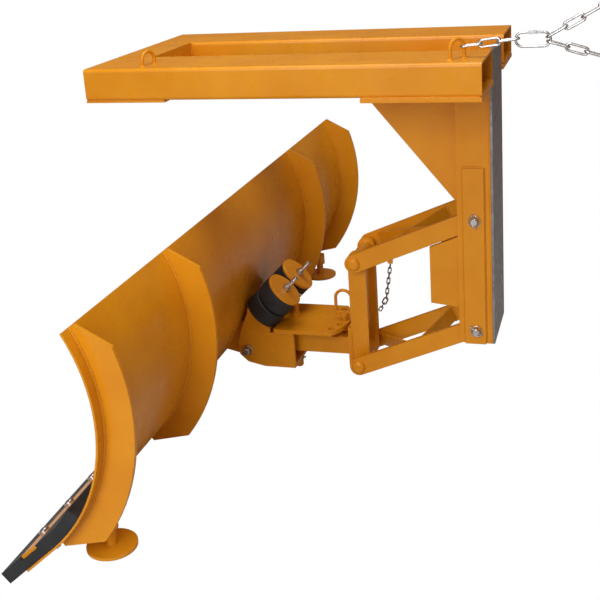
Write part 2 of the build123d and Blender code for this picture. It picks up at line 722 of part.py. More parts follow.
rods, washers, nuts = [], [], []
for side_y in buffer_sides:
    stand = Plane(origin=(buffer_x, side_y, buffer_z), x_dir=seat_plane.x_dir,
                  z_dir=seat_plane.z_dir)
    washer_foot = buffer_height + rest_gap
    with BuildPart() as rod:
        with BuildSketch(stand.offset(-rod_below)):
            Circle(rod_diameter / 2)
        extrude(amount=rod_below + washer_foot + washer_thickness + rod_above)
        chamfer(rod.faces().sort_by(Axis((0, 0, 0), stand.z_dir))[-1].edges(), 1.5)
        eye_centre = stand.origin - stand.z_dir * rod_below
        with BuildSketch(Plane(origin=(eye_centre.X, side_y + rod_eye_width / 2, eye_centre.Z),
                               x_dir=(1, 0, 0), z_dir=(0, -1, 0))):
            Circle(rod_eye_radius)
        extrude(amount=rod_eye_width)
        with BuildSketch(Plane(origin=(eye_centre.X, side_y + 24, eye_centre.Z),
                               x_dir=(1, 0, 0), z_dir=(0, -1, 0))):
            Circle(rod_pin_diameter / 2)
        extrude(amount=48)
    rods.append(rod.part)
    with BuildPart() as washer:
        with BuildSketch(stand.offset(washer_foot)):
            Circle(washer_diameter / 2)
            Circle(rod_diameter / 2, mode=Mode.SUBTRACT)
        extrude(amount=washer_thickness)
        fillet(washer.edges().group_by(SortBy.LENGTH)[-1], 1.5)
    washers.append(washer.part)
    with BuildPart() as nut:
        with BuildSketch(stand.offset(washer_foot + washer_thickness)):
            RegularPolygon(rod_diameter, 6)
            Circle(rod_diameter / 2, mode=Mode.SUBTRACT)
        extrude(amount=rod_diameter)
    nuts.append(nut.part)
export(Compound(children=rods), "buffer_rods")
export(Compound(children=washers), "buffer_washers")
export(Compound(children=nuts), "buffer_nuts")

# ---- Blade ---------------------------------------------------------------------------------------
def on_arc(radius, angle):
    """Point of the moldboard's section at an angle round its centre, in degrees."""
    return (blade_centre_x + radius * cos(radians(angle)),
            blade_centre_z + radius * sin(radians(angle)))


foot_turn = 270 - foot_angle
middle_turn = (blade_top_angle + foot_turn) / 2
foot_end = (foot_x + foot_length * cos(foot), foot_z - foot_length * sin(foot))
foot_back = (foot_end[0] - blade_plate * sin(foot), foot_end[1] - blade_plate * cos(foot))
foot_plane = Plane(origin=(foot_x, 0, foot_z), x_dir=(cos(foot), 0, -sin(foot)),
                   z_dir=(sin(foot), 0, cos(foot)))
bolt_row = [(scraper_overlap - clamp_from_tip, (i - (bolt_count - 1) / 2) * bolt_pitch)
            for i in range(bolt_count)]
with BuildPart() as moldboard:
    with BuildSketch(upright_plane(blade_half)):
        with BuildLine():
            ThreePointArc(on_arc(blade_radius, blade_top_angle), on_arc(blade_radius, middle_turn),
                          on_arc(blade_radius, foot_turn))
            Polyline(on_arc(blade_radius, foot_turn), foot_end, foot_back,
                     on_arc(back_radius, foot_turn))
            ThreePointArc(on_arc(back_radius, foot_turn), on_arc(back_radius, middle_turn),
                          on_arc(back_radius, blade_top_angle))
            Line(on_arc(back_radius, blade_top_angle), on_arc(blade_radius, blade_top_angle))
        make_face()
    extrude(amount=blade_width)
    with BuildSketch(foot_plane):
        with Locations(*bolt_row):
            Circle(bolt_diameter / 2 + running_gap)
    extrude(amount=-2 * blade_plate, mode=Mode.SUBTRACT)
export(moldboard.part, "moldboard")

rib_radius = back_radius + rib_depth
rib_middle = (rib_shoulder + rib_heel) / 2
for rib_y, name in ((blade_half - rib_inset, "blade_end_ribs"), (middle_rib_y, "blade_middle_ribs")):
    with BuildPart() as rib:
        with BuildSketch(upright_plane(rib_y)):
            with BuildLine():
                Polyline(on_arc(back_radius, blade_top_angle),
                         on_arc(back_radius + rib_tip, blade_top_angle), on_arc(rib_radius, rib_shoulder))
                ThreePointArc(on_arc(rib_radius, rib_shoulder), on_arc(rib_radius, rib_middle),
                              on_arc(rib_radius, rib_heel))
                Polyline(on_arc(rib_radius, rib_heel), on_arc(back_radius + rib_tip, foot_turn),
                         on_arc(back_radius, foot_turn))
                ThreePointArc(on_arc(back_radius, foot_turn), on_arc(back_radius, middle_turn),
                              on_arc(back_radius, blade_top_angle))
            make_face()
        extrude(amount=rib_thickness)
    export(both_sides(rib.part), name)

# The rods' eyes slide in slots of the lugs while the blade swings, so each slot runs from the eye's
# place at rest to its place, seen from the blade, when the blade has swung right back.
eye_x = buffer_x + rod_below * sin(seat) - tilt_x
eye_z = buffer_z - rod_below * cos(seat) - tilt_z
turn = radians(trip_angle)
swung_x = eye_x * cos(turn) + eye_z * sin(turn)
swung_z = eye_z * cos(turn) - eye_x * sin(turn)
rod_travel = (swung_x - eye_x) * sin(seat) - (swung_z - eye_z) * cos(seat)
pulled_x = eye_x + rod_travel * sin(seat)
pulled_z = eye_z - rod_travel * cos(seat)
slot_x = pulled_x * cos(turn) - pulled_z * sin(turn)
slot_z = pulled_x * sin(turn) + pulled_z * cos(turn)
slot_run = hypot(slot_x - eye_x, slot_z - eye_z)
slot_lean = degrees(atan2(slot_z - eye_z, slot_x - eye_x))
lug_top, lug_foot = 202.5, 217.0   # degrees round the blade's centre
lugs = []
for side_y in buffer_sides:
    for lug_y in (side_y + lug_gap / 2 + lug_thickness, side_y - lug_gap / 2):
        with BuildPart() as lug:
            with BuildSketch(upright_plane(lug_y)):
                with Locations((tilt_x, tilt_z)):
                    Circle(tilt_boss)
                with BuildLine():
                    Polyline((tilt_x - tilt_boss, tilt_z), (tilt_x + eye_x - 22, tilt_z + eye_z),
                             (tilt_x + eye_x - 12, tilt_z + eye_z + 16), on_arc(back_radius, lug_top))
                    ThreePointArc(on_arc(back_radius, lug_top),
                                  on_arc(back_radius, (lug_top + lug_foot) / 2),
                                  on_arc(back_radius, lug_foot))
                    Polyline(on_arc(back_radius, lug_foot), (tilt_x + 4, tilt_z - tilt_boss + 0.5),
                             (tilt_x - tilt_boss, tilt_z))
                make_face()
                with Locations((tilt_x, tilt_z)):
                    Circle(pin_diameter / 2 + running_gap, mode=Mode.SUBTRACT)
                with Locations((tilt_x + (eye_x + slot_x) / 2, tilt_z + (eye_z + slot_z) / 2)):
                    SlotCenterToCenter(slot_run, rod_pin_diameter + 1.5, rotation=slot_lean,
                                       mode=Mode.SUBTRACT)
            extrude(amount=lug_thickness)
        lugs.append(lug.part)
export(Compound(children=lugs), "blade_lugs")

scraper_arc = degrees((scraper_length - scraper_overlap) / blade_radius)
with BuildPart() as scraper:
    with BuildSketch(upright_plane(blade_half - 3)):
        with BuildLine():
            inner_radius = blade_radius - scraper_thickness
            top_turn = foot_turn - scraper_arc
            tip = (foot_x + scraper_overlap * cos(foot), foot_z - scraper_overlap * sin(foot))
            Polyline(on_arc(blade_radius, foot_turn), tip,
                     (tip[0] + scraper_thickness * sin(foot), tip[1] + scraper_thickness * cos(foot)),
                     on_arc(inner_radius, foot_turn))
            ThreePointArc(on_arc(inner_radius, foot_turn),
                          on_arc(inner_radius, foot_turn - scraper_arc / 2),
                          on_arc(inner_radius, top_turn))
            Line(on_arc(inner_radius, top_turn), on_arc(blade_radius, top_turn))
            ThreePointArc(on_arc(blade_radius, top_turn),
                          on_arc(blade_radius, foot_turn - scraper_arc / 2),
                          on_arc(blade_radius, foot_turn))
        make_face()
    extrude(amount=blade_width - 6)
    with BuildSketch(foot_plane):
        with Locations(*bolt_row):
            Circle(bolt_diameter / 2 + running_gap)
    extrude(amount=scraper_thickness + 1, mode=Mode.SUBTRACT)
    with BuildSketch(foot_plane.offset(scraper_thickness - clamp_sink)):
        with Locations((scraper_overlap - clamp_from_tip, 0)):
            Rectangle(clamp_width + 2 * rest_gap, blade_width)
    extrude(amount=2 * clamp_sink, mode=Mode.SUBTRACT)
export(scraper.part, "scraper")

with BuildPart() as clamp_bar:
    with BuildSketch(foot_plane.offset(scraper_thickness - clamp_sink)):
        with Locations((scraper_overlap - clamp_from_tip, 0)):
            Rectangle(clamp_width, blade_width - 20)
        with Locations(*bolt_row):
            Circle(bolt_diameter / 2 + running_gap, mode=Mode.SUBTRACT)
    extrude(amount=clamp_thickness)
export(clamp_bar.part, "clamp_bar")

bolts = []
clamped = scraper_thickness - clamp_sink + clamp_thickness
for bolt_x, bolt_y in bolt_row:
    with BuildPart() as bolt:
        with BuildSketch(foot_plane.offset(-blade_plate - bolt_diameter)):
            with Locations((bolt_x, bolt_y)):
                Circle(bolt_diameter / 2)
        extrude(amount=clamped + blade_plate + bolt_diameter)
        with BuildSketch(foot_plane.offset(clamped)):
            with Locations((bolt_x, bolt_y)):
                Circle(bolt_head / 2)
        extrude(amount=bolt_diameter / 2)
        with BuildSketch(foot_plane.offset(-blade_plate)):
            with Locations((bolt_x, bolt_y)):
                RegularPolygon(bolt_diameter * 0.9, 6)
        extrude(amount=-bolt_diameter * 0.8)
    bolts.append(bolt.part)
export(Compound(children=bolts), "scraper_bolts")

# ---- Skid feet -----------------------------------------------------------------------------------
sleeve_top = skid_sleeve_bottom + skid_sleeve_height
with BuildPart() as skid_bracket:
    with BuildSketch(upright_plane(skid_y + weld_plate / 2)):
        with Locations((skid_x + 60, sleeve_top + 8)):
            Rectangle(120, 50)
        with Locations((blade_centre_x, blade_centre_z)):
            Circle(back_radius, mode=Mode.SUBTRACT)
    extrude(amount=weld_plate)
    with BuildSketch(Plane.XY.offset(skid_sleeve_bottom)):
        with Locations((skid_x, skid_y)):
            Circle(skid_sleeve / 2)
    extrude(amount=skid_sleeve_height)
    with BuildSketch(Plane.XY.offset(skid_sleeve_bottom - 5)):
        with Locations((skid_x, skid_y)):
            Circle(skid_stem / 2 + running_gap)
    extrude(amount=120, mode=Mode.SUBTRACT)
export(both_sides(skid_bracket.part), "skid_brackets")

for side, name in ((1, "skid_left"), (-1, "skid_right")):
    with BuildPart() as skid:
        with BuildSketch(Plane.XY.offset(skid_bottom)):
            with Locations((skid_x, side * skid_y)):
                Circle(skid_diameter / 2)
        extrude(amount=skid_thickness)
        fillet(skid.faces().sort_by(Axis.Z)[0].edges(), 3)
        with BuildSketch(Plane.XY.offset(skid_bottom + skid_thickness)):
            with Locations((skid_x, side * skid_y)):
                Circle(skid_stem / 2)
        extrude(amount=sleeve_top + 3 - skid_bottom - skid_thickness)
        chamfer(skid.faces().sort_by(Axis.Z)[-1].edges(), 1.5)
    export(skid.part, name)

# ---- Safety chain --------------------------------------------------------------------------------
chain_link = oval_link(link_inner_length, link_inner_width, link_wire)
link_reach = (link_inner_length - link_inner_width) / 2
pitch = link_inner_length - chain_slack
eye_half = (eye_width - eye_wire) / 2
eye_leg = Vector(rear_eye_x - eye_half * cos(radians(rear_eye_turn)),
                 eye_y - eye_half * sin(radians(rear_eye_turn)), top_z + 26)
tether_way = Vector(-0.985, 0.11, 0.13).normalized()
tether_first = eye_leg + tether_way * link_reach
tether_last = tether_first + tether_way * 2 * pitch
export(Compound(children=chain_run(chain_link, Line(tether_first, tether_last), 3, 180)),
       "tether_chain")

hook_half = (hook_length - hook_width) / 2
hook_bend = (hook_width - hook_wire) / 2
hook_centre = Vector(tether_last.X - link_reach - hook_half - hook_bend, tether_last.Y,
                     tether_last.Z)
hook_plane = Plane(origin=hook_centre, x_dir=(1, 0, 0), z_dir=(0, -1, 0))
tongue = 14.0
with BuildPart() as snap_hook:
    with BuildLine(hook_plane) as bow:
        Line((gate_length / 2 - 6, hook_bend), (hook_half, hook_bend))
        ThreePointArc((hook_half, hook_bend), (hook_half + hook_bend, 0), (hook_half, -hook_bend))
        Line((hook_half, -hook_bend), (-hook_half, -hook_bend))
        ThreePointArc((-hook_half, -hook_bend), (-hook_half - hook_bend, 0), (-hook_half, hook_bend))
        Line((-hook_half, hook_bend), (-gate_length / 2 - 5, hook_bend))
    with BuildSketch(Plane(origin=bow.line @ 0, z_dir=bow.line % 0)):
        Circle(hook_wire / 2)
    sweep(path=bow.line)
    with BuildSketch(hook_plane.offset(-1.5)):
        with Locations((-gate_length / 2 - 9 + tongue / 2, hook_bend)):
            SlotOverall(tongue, hook_wire - 1)
    extrude(amount=3)
    with BuildSketch(hook_plane.offset(-hook_wire / 2)):
        with Locations((-gate_length / 2 + 2, hook_bend)):
            Circle(gate_rivet / 2)
    extrude(amount=hook_wire)
export(snap_hook.part, "snap_hook")

with BuildPart() as snap_hook_gate:
    with BuildSketch(hook_plane.offset(-hook_wire / 2 + 0.2)):
        with Locations((-4, hook_bend)):
            SlotOverall(gate_length - 5, gate_height)
        with Locations((-gate_length / 2 + 2, hook_bend)):
            Circle(gate_rivet / 2 + running_gap, mode=Mode.SUBTRACT)
    extrude(amount=hook_wire - 0.4)
    with BuildSketch(hook_plane.offset(-1.5 - rest_gap)):
        with Locations((-gate_length / 2 + 2, hook_bend)):
            Circle(gate_height)
    extrude(amount=3 + 2 * rest_gap, mode=Mode.SUBTRACT)
export(snap_hook_gate.part, "snap_hook_gate")

far_end = hook_centre.X - hook_half - hook_bend
# The flat links turn about the middle of their end wires, so the upright ones between them reach less.
flat_reach = (link_inner_length + link_wire) / 2
reaches = [flat_reach, pitch - flat_reach]
turn_in = (20.0, -18.0, -54.0)
fall = sum(2 * reaches[(i + 1) % 2] * sin(radians(a)) for i, a in enumerate(turn_in))
rise = degrees(asin((flat_reach - loop_spread / 2 - fall) / (4 * reaches[0] + 2 * reaches[1])))
half_loop = [rise, rise, rise, *turn_in]
headings = [a + loop_tilt for a in half_loop + [-90.0] + [180 - a for a in reversed(half_loop)]]
loop_links = []
joint = Vector(far_end + link_wire + 2.2, hook_centre.Y, hook_centre.Z + loop_spread / 2)
for i, heading in enumerate(headings):
    way = Vector(-cos(radians(heading)), 0, sin(radians(heading))) * reaches[i % 2]
    place = Plane(origin=joint + way, x_dir=way, z_dir=way.cross(Vector(0, 1, 0)))
    loop_links.append(place.location * Rotation(90 * (i % 2), 0, 0) * chain_link)
    joint = joint + way * 2
export(Compound(children=loop_links), "safety_chain")
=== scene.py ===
import json
from math import atan2, cos, pi, radians, sin

import bmesh
import bpy
from mathutils import Matrix, Vector


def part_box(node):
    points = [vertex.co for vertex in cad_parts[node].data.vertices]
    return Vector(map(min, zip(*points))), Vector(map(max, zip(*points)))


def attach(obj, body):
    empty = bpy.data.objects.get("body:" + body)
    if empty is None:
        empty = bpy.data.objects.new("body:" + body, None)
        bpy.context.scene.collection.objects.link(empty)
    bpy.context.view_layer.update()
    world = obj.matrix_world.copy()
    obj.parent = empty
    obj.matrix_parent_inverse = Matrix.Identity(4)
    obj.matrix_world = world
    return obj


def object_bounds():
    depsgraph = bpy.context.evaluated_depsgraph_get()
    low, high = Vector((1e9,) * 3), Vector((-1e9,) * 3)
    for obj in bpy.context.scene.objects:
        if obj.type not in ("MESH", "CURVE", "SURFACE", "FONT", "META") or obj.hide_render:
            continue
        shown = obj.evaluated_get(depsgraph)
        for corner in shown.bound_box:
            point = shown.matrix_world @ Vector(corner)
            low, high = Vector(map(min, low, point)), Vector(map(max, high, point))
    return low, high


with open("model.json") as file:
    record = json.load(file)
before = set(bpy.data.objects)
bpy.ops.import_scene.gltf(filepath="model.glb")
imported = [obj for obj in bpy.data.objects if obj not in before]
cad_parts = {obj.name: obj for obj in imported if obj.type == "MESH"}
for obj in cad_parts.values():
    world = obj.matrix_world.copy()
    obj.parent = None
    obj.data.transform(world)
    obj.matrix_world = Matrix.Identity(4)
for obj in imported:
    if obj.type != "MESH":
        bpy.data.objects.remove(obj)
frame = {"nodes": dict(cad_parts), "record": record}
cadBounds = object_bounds()
print("frame loaded")

mm = 0.001


# ---- shader helpers ----
def linear(hexText):
    channels = [int(hexText[i:i + 2], 16) / 255 for i in (0, 2, 4)]
    return [c / 12.92 if c <= 0.04045 else ((c + 0.055) / 1.055) ** 2.4 for c in channels] + [1]


def addNode(tree, kind, settings=None, inputs=None):
    made = tree.nodes.new(kind)
    for name, value in (settings or {}).items():
        setattr(made, name, value)
    for name, value in (inputs or {}).items():
        if isinstance(value, bpy.types.NodeSocket):
            tree.links.new(value, made.inputs[name])
        else:
            made.inputs[name].default_value = value
    return made


def noise(tree, place, perMetre, detail=4.0, roughness=0.5):
    return addNode(tree, "ShaderNodeTexNoise", {}, {
        "Vector": place, "Scale": perMetre, "Detail": detail, "Roughness": roughness}).outputs["Fac"]


def span(tree, value, low, high, toLow=0.0, toHigh=1.0):
    return addNode(tree, "ShaderNodeMapRange", {}, {
        "Value": value, "From Min": low, "From Max": high, "To Min": toLow, "To Max": toHigh}).outputs[0]


def mixColour(tree, factor, first, second):
    mixed = addNode(tree, "ShaderNodeMix", {"data_type": "RGBA"})
    for socket, value in ((mixed.inputs[0], factor), (mixed.inputs[6], first), (mixed.inputs[7], second)):
        if isinstance(value, bpy.types.NodeSocket):
            tree.links.new(value, socket)
        else:
            socket.default_value = value
    return mixed.outputs[2]


def product(tree, first, second):
    made = addNode(tree, "ShaderNodeMath", {"operation": "MULTIPLY"})
    tree.links.new(first, made.inputs[0])
    tree.links.new(second, made.inputs[1])
    return made.outputs[0]


def newMaterial(name):
    made = bpy.data.materials.new(name)
    made.use_nodes = True
    made.node_tree.nodes.clear()
    place = addNode(made.node_tree, "ShaderNodeTexCoord").outputs["Object"]
    return made, made.node_tree, place


def closeMaterial(tree, inputs):
    shader = addNode(tree, "ShaderNodeBsdfPrincipled", {}, inputs)
    addNode(tree, "ShaderNodeOutputMaterial", {}, {"Surface": shader.outputs[0]})


def roundedNormal(tree, radius):
    return addNode(tree, "ShaderNodeBevel", {"samples": 4}, {"Radius": radius}).outputs["Normal"]


def edgeMask(tree, normal):
    facing = addNode(tree, "ShaderNodeNewGeometry").outputs["Normal"]
    turned = addNode(tree, "ShaderNodeVectorMath", {"operation": "DOT_PRODUCT"})
    tree.links.new(normal, turned.inputs[0])
    tree.links.new(facing, turned.inputs[1])
    return span(tree, turned.outputs["Value"], 0.995, 0.9)


# ---- materials ----
paintLook = {"colour": "E0971A", "deep": "D88C12", "dust": "E2AA55", "primer": "8A4A22",
             "mottlePerMetre": 7.0, "peelPerMetre": 420.0, "chipPerMetre": 160.0,
             "roughness": 0.3, "edgeRadius": 1.8 * mm}


def paintedSteel(name, look):
    made, tree, place = newMaterial(name)
    rounded = roundedNormal(tree, look["edgeRadius"])
    body = mixColour(tree, span(tree, noise(tree, place, look["mottlePerMetre"]), 0.35, 0.65),
                     linear(look["colour"]), linear(look["deep"]))
    streaks = addNode(tree, "ShaderNodeMapping", {}, {"Vector": place, "Scale": (14, 14, 1.5)}).outputs[0]
    dusty = span(tree, noise(tree, streaks, 1.0, 6.0), 0.55, 0.8, 0.0, 0.12)
    dusted = mixColour(tree, dusty, body, linear(look["dust"]))
    chips = span(tree, noise(tree, place, look["chipPerMetre"], 3.0, 0.7), 0.56, 0.62)
    worn = product(tree, edgeMask(tree, rounded), chips)
    colour = mixColour(tree, worn, dusted, linear(look["primer"]))
    peel = noise(tree, place, look["peelPerMetre"], 2.0)
    skin = addNode(tree, "ShaderNodeBump", {}, {"Strength": 0.12, "Distance": 0.0004, "Height": peel,
                                                "Normal": rounded}).outputs[0]
    gloss = span(tree, noise(tree, place, 22.0, 5.0), 0.3, 0.7, look["roughness"] - 0.06,
                 look["roughness"] + 0.1)
    closeMaterial(tree, {"Base Color": colour, "Roughness": gloss, "Normal": skin, "IOR": 1.45,
                         "Specular IOR Level": 0.35, "Coat Weight": 0.08, "Coat Roughness": 0.1})
    return made


def bareMetal(name, look):
    made, tree, place = newMaterial(name)
    rounded = roundedNormal(tree, look["edgeRadius"])
    cloudy = span(tree, noise(tree, place, look["cloudPerMetre"], 6.0, 0.6), 0.35, 0.68)
    spots = span(tree, noise(tree, place, look["spotPerMetre"], 3.0), 0.62, 0.72, 0.0, look["spots"])
    tone = mixColour(tree, cloudy, linear(look["colour"]), linear(look["dull"]))
    colour = mixColour(tree, spots, tone, linear(look["stain"]))
    scratch = noise(tree, place, look["grainPerMetre"], 3.0)
    skin = addNode(tree, "ShaderNodeBump", {}, {"Strength": look["grain"], "Distance": 0.0003,
                                                "Height": scratch, "Normal": rounded}).outputs[0]
    rough = span(tree, noise(tree, place, look["cloudPerMetre"] * 2, 4.0), 0.3, 0.7,
                 look["roughness"] - 0.08, look["roughness"] + 0.12)
    closeMaterial(tree, {"Base Color": colour, "Metallic": look["metallic"], "Roughness": rough,
                         "Normal": skin})
    return made


zincLook = {"colour": "D8DADC", "dull": "B4B7BA", "stain": "8C8478", "spots": 0.35, "cloudPerMetre": 60.0,
            "spotPerMetre": 240.0, "grainPerMetre": 700.0, "grain": 0.1, "roughness": 0.28,
            "metallic": 1.0, "edgeRadius": 0.6 * mm}
galvanisedLook = {"colour": "9A9EA4", "dull": "7E8288", "stain": "6A6A66", "spots": 0.3,
                  "cloudPerMetre": 45.0, "spotPerMetre": 90.0, "grainPerMetre": 300.0, "grain": 0.15, "roughness": 0.5,
                  "metallic": 0.85, "edgeRadius": 1.2 * mm}
rustyLook = {"colour": "7A5A3C", "dull": "54402C", "stain": "3A2A20", "spots": 0.6, "cloudPerMetre": 120.0,
             "spotPerMetre": 300.0, "grainPerMetre": 900.0, "grain": 0.4, "roughness": 0.55,
             "metallic": 0.6, "edgeRadius": 0.4 * mm}

rubberLook = {"colour": "15191D", "bloom": "2A3036", "scuff": "4A4E52", "grainPerMetre": 900.0,
              "bloomPerMetre": 14.0, "roughness": 0.62, "edgeRadius": 1.5 * mm}


def blackRubber(name, look):
    made, tree, place = newMaterial(name)
    rounded = roundedNormal(tree, look["edgeRadius"])
    bloom = span(tree, noise(tree, place, look["bloomPerMetre"], 6.0, 0.6), 0.4, 0.75)
    tone = mixColour(tree, bloom, linear(look["colour"]), linear(look["bloom"]))
    scuffs = span(tree, noise(tree, place, 130.0, 5.0, 0.7), 0.6, 0.72, 0.0, 0.6)
    colour = mixColour(tree, product(tree, edgeMask(tree, rounded), scuffs), tone, linear(look["scuff"]))
    grain = noise(tree, place, look["grainPerMetre"], 3.0, 0.6)
    skin = addNode(tree, "ShaderNodeBump", {}, {"Strength": 0.25, "Distance": 0.0003, "Height": grain,
                                                "Normal": rounded}).outputs[0]
    rough = span(tree, bloom, 0.0, 1.0, look["roughness"] - 0.12, look["roughness"] + 0.1)
    closeMaterial(tree, {"Base Color": colour, "Roughness": rough, "Normal": skin, "IOR": 1.52})
    return made


materials = {
    "yellow_paint": paintedSteel("glossYellowPaint", paintLook),
    "zinc": bareMetal("brightZincPlate", zincLook),
    "galvanised": bareMetal("galvanisedSteel", galvanisedLook),
    "dark_steel": bareMetal("rustyChainSteel", rustyLook),
    "black_rubber": blackRubber("blackRubber", rubberLook),
}
for row in frame["record"]["subparts"]:
    shown = frame["nodes"][row["node"]]
    shown.data.materials.clear()
    shown.data.materials.append(materials[row["material_slot"]])
print("materials set")


# ---- mesh helpers ----
def tube(mesh, points, radius, ripple=0.0, pitch=6 * mm, sides=8, closed=False):
    rings = []
    count = len(points)
    reached = 0.0
    for i, point in enumerate(points):
        ahead = points[(i + 1) % count] if closed or i < count - 1 else point
        behind = points[i - 1] if closed or i > 0 else point
        along = (ahead - behind).normalized()
        across = along.cross(Vector((0.31, 0.52, 0.79))).normalized()
        up = across.cross(along)
        if i:
            reached += (point - points[i - 1]).length
        swell = 1 + ripple * sin(2 * pi * reached / pitch)
        ends = 0.55 if not closed and i in (0, count - 1) else 1.0
        rings.append([mesh.verts.new(point + (across * cos(2 * pi * k / sides) + up * sin(2 * pi * k / sides))
                                     * radius * swell * ends) for k in range(sides)])
    pairs = list(zip(rings, rings[1:])) + ([(rings[-1], rings[0])] if closed else [])
    for first, second in pairs:
        for k in range(sides):
            j = (k + 1) % sides
            mesh.faces.new((first[k], first[j], second[j], second[k]))
    if not closed:
        mesh.faces.new(reversed(rings[0]))
        mesh.faces.new(rings[-1])


def lathe(mesh, origin, axis, profile, sides=32):
    axis = axis.normalized()
    across = axis.cross(Vector((0.31, 0.52, 0.79))).normalized()
    up = axis.cross(across)
    rings = []
    for radius, height in profile:
        centre = origin + axis * height
        rings.append([mesh.verts.new(centre + (across * cos(2 * pi * k / sides) + up * sin(2 * pi * k / sides))
                                     * radius) for k in range(sides)])
    for first, second in zip(rings, rings[1:]):
        for k in range(sides):
            j = (k + 1) % sides
            mesh.faces.new((first[k], first[j], second[j], second[k]))
    mesh.faces.new(reversed(rings[0]))
    mesh.faces.new(rings[-1])


def finishPiece(name, mesh, body, slot):
    bmesh.ops.recalc_face_normals(mesh, faces=mesh.faces)
    data = bpy.data.meshes.new(name)
    mesh.to_mesh(data)
    mesh.free()
    for face in data.polygons:
        face.use_smooth = True
    data.materials.append(materials[slot])
    made = bpy.data.objects.new(name, data)
    bpy.context.scene.collection.objects.link(made)
    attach(made, body)


def stretch(first, second, step=1.5 * mm):
    first, second = Vector(first), Vector(second)
    count = max(2, int((second - first).length / step))
    return [first.lerp(second, i / count) for i in range(count + 1)]


# ---- weld beads ----
weldLook = {"radius": 3.4 * mm, "small": 2.6 * mm, "ripple": 0.16, "pitch": 5.5 * mm}
beads = {}


def bead(body, points, size="radius", closed=False):
    mesh = beads.setdefault(body, bmesh.new())
    tube(mesh, points, weldLook[size], weldLook["ripple"], weldLook["pitch"], 8, closed)


def ringOf(centre, axis, radius, count=72):
    axis = Vector(axis).normalized()
    across = axis.orthogonal().normalized()
    up = axis.cross(across)
    return [Vector(centre) + (across * cos(2 * pi * i / count) + up * sin(2 * pi * i / count)) * radius
            for i in range(count)]


bladeShape = {"centre": (1111 * mm, -572 * mm), "back": 413 * mm, "top": 151.6, "foot": 228.6}


def bladeArc(y, fromTurn, toTurn):
    count = int(abs(toTurn - fromTurn) / 0.22)
    turns = [radians(fromTurn + (toTurn - fromTurn) * i / count) for i in range(count + 1)]
    cx, cz = bladeShape["centre"]
    return [Vector((cx + bladeShape["back"] * cos(t), y, cz + bladeShape["back"] * sin(t))) for t in turns]


ribThickness = 10 * mm
for node in ("blade_end_ribs", "blade_middle_ribs"):
    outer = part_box(node)[1][1]
    for side in (1, -1):
        for y in (outer, outer - ribThickness):
            bead("blade", bladeArc(side * y, bladeShape["top"], bladeShape["foot"]))
lugShape = {"faces": (82, 72, 52, 42), "from": 203, "to": 216.6}  # faces in mm, turns in degrees
for side in (1, -1):
    for y in lugShape["faces"]:
        bead("blade", bladeArc(side * y * mm, lugShape["from"], lugShape["to"]), "small")

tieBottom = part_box("rear_tie_plate")[0][2]
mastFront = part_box("mast_gussets")[0][0]
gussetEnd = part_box("mast_gussets")[1][0]
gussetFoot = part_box("mast_gussets")[0][2]
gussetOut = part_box("mast_gussets")[1][1]
gussetShape = {"thickness": 12 * mm, "bare": 76 * mm}  # bare: its tip runs past the tie plate
for side in (1, -1):
    for y in (gussetOut, gussetOut - gussetShape["thickness"]):
        bead("fork_frame", stretch((mastFront, side * y, tieBottom),
                                   (gussetEnd - gussetShape["bare"], side * y, tieBottom)))
        bead("fork_frame", stretch((mastFront, side * y, tieBottom),
                                   (mastFront, side * y, gussetFoot + 4 * mm)))
    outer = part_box("mast_side_left")[1][1] * side
    low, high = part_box("pivot_doublers")
    bead("fork_frame", stretch((low[0], outer, low[2]), (low[0], outer, high[2])))
    bead("fork_frame", stretch((high[0], outer, low[2]), (high[0], outer, high[2])))
    bead("fork_frame", stretch((low[0], outer, high[2]), (high[0], outer, high[2])))
    mastLow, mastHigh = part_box("mast_side_left")
    bead("fork_frame", stretch((mastLow[0], outer, mastLow[2] + 3 * mm),
                               (mastLow[0], outer, mastHigh[2])), "small")
    bead("fork_frame", stretch((mastLow[0], outer, mastHigh[2]), (mastHigh[0], outer, mastHigh[2])))
    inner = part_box("fork_pocket_left")[0][1] * side
    crossLow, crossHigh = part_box("front_cross_member")
    bead("fork_frame", stretch((crossLow[0], inner, crossLow[2]), (crossHigh[0], inner, crossLow[2])))
    bead("fork_frame", stretch((crossLow[0], inner, crossLow[2]), (crossLow[0], inner, crossHigh[2])))
    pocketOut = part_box("fork_pocket_left")[1][1] * side
    frontLow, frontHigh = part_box("front_tie_plate")
    bead("fork_frame", stretch((frontLow[0] + 4 * mm, pocketOut - side * 7 * mm, frontHigh[2]),
                               (frontHigh[0] - 4 * mm, pocketOut - side * 7 * mm, frontHigh[2])))
    rearLow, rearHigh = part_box("rear_tie_plate")
    bead("fork_frame", stretch((4 * mm, pocketOut - side * 4 * mm, rearHigh[2]),
                               (rearHigh[0] - 3 * mm, pocketOut - side * 4 * mm, rearHigh[2])))

eyeShape = {"spots": ((846, 266, 70), (64, 266, 50)), "half": 21.5 * mm, "ring": 5.2 * mm}
for x, y, turn in eyeShape["spots"]:
    way = Vector((cos(radians(turn)), sin(radians(turn)), 0)) * eyeShape["half"]
    for leg in (-1, 1):
        spot = Vector((x * mm, y * mm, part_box("fork_pocket_left")[1][2])) + way * leg
        bead("fork_frame", ringOf(spot, (0, 0, 1), eyeShape["ring"], 40), "small", True)

